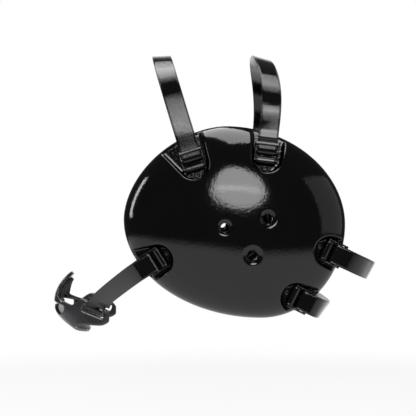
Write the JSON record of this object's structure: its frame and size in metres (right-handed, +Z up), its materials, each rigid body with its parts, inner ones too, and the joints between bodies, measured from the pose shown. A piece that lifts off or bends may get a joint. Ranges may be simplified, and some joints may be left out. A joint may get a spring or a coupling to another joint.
{
  "type": "wrestling headgear",
  "caption": "Wrestling headgear with domed ear guards, foam ear pads, crown and rear straps on riveted ladder-lock buckles, and a chin strap with a rocking chin cup.",
  "frame": {"origin": "centre of the head space, midway between the two ear guards", "axes": "+X to the wearer's left, -Y the way the face looks, +Z up"},
  "size_m": [0.2186, 0.2587, 0.2245],
  "materials": {
    "dipped_shell": "glossy vinyl-dipped foam",
    "dipped_cup": "satin moulded rubber",
    "foam_pad": "matt closed-cell foam",
    "coated_webbing": "glossy coated webbing",
    "buckle": "satin moulded nylon",
    "rivet": "black lacquer"
  },
  "bodies": {
    "guards": {"left_guard_shell": "dipped_shell", "left_ear_pad": "foam_pad", "left_front_crown_rivet": "rivet", "left_rear_crown_rivet": "rivet", "left_upper_rear_rivet": "rivet", "left_lower_rear_rivet": "rivet", "left_chin_rivet": "rivet", "right_guard_shell": "dipped_shell", "right_ear_pad": "foam_pad", "right_front_crown_rivet": "rivet", "right_rear_crown_rivet": "rivet", "right_upper_rear_rivet": "rivet", "right_lower_rear_rivet": "rivet", "right_chin_rivet": "rivet"},
    "front_crown_strap": {"front_crown_strap": "coated_webbing", "left_front_crown_tab": "coated_webbing", "left_front_crown_buckle": "buckle", "right_front_crown_tab": "coated_webbing", "right_front_crown_buckle": "buckle"},
    "rear_crown_strap": {"rear_crown_strap": "coated_webbing", "left_rear_crown_tab": "coated_webbing", "left_rear_crown_buckle": "buckle", "right_rear_crown_tab": "coated_webbing", "right_rear_crown_buckle": "buckle"},
    "upper_rear_strap": {"upper_rear_strap": "coated_webbing", "left_upper_rear_tab": "coated_webbing", "left_upper_rear_buckle": "buckle", "right_upper_rear_tab": "coated_webbing", "right_upper_rear_buckle": "buckle"},
    "lower_rear_strap": {"lower_rear_strap": "coated_webbing", "left_lower_rear_tab": "coated_webbing", "left_lower_rear_buckle": "buckle", "right_lower_rear_tab": "coated_webbing", "right_lower_rear_buckle": "buckle"},
    "chin_strap": {"left_chin_strap": "coated_webbing", "right_chin_strap": "coated_webbing", "left_chin_tab": "coated_webbing", "left_chin_buckle": "buckle", "right_chin_tab": "coated_webbing", "right_chin_buckle": "buckle"},
    "chin_cup": {"chin_cup": "dipped_cup", "chin_cup_liner": "foam_pad"}
  },
  "joints": [
    {"name": "front_crown_swivel", "type": "hinge", "parent": "guards", "child": "front_crown_strap", "pos_m": [0, -0.02826, 0.03544], "axis": [1, 0, 0], "range_deg": [-8, 8]},
    {"name": "rear_crown_swivel", "type": "hinge", "parent": "guards", "child": "rear_crown_strap", "pos_m": [0, 0.02252, 0.04045], "axis": [1, 0, 0], "range_deg": [-8, 8]},
    {"name": "upper_rear_swivel", "type": "hinge", "parent": "guards", "child": "upper_rear_strap", "pos_m": [0, 0.0638, -0.01835], "axis": [1, 0, 0], "range_deg": [-8, 8]},
    {"name": "lower_rear_swivel", "type": "hinge", "parent": "guards", "child": "lower_rear_strap", "pos_m": [0, 0.03895, -0.05285], "axis": [1, 0, 0], "range_deg": [-8, 8]},
    {"name": "chin_swivel", "type": "hinge", "parent": "guards", "child": "chin_strap", "pos_m": [0, -0.05098, -0.02346], "axis": [1, 0, 0], "range_deg": [-8, 8]},
    {"name": "chin_cup_rock", "type": "hinge", "parent": "chin_strap", "child": "chin_cup", "pos_m": [0, -0.1105, -0.07122], "axis": [1, 0, 0], "range_deg": [-5, 5]}
  ]
}
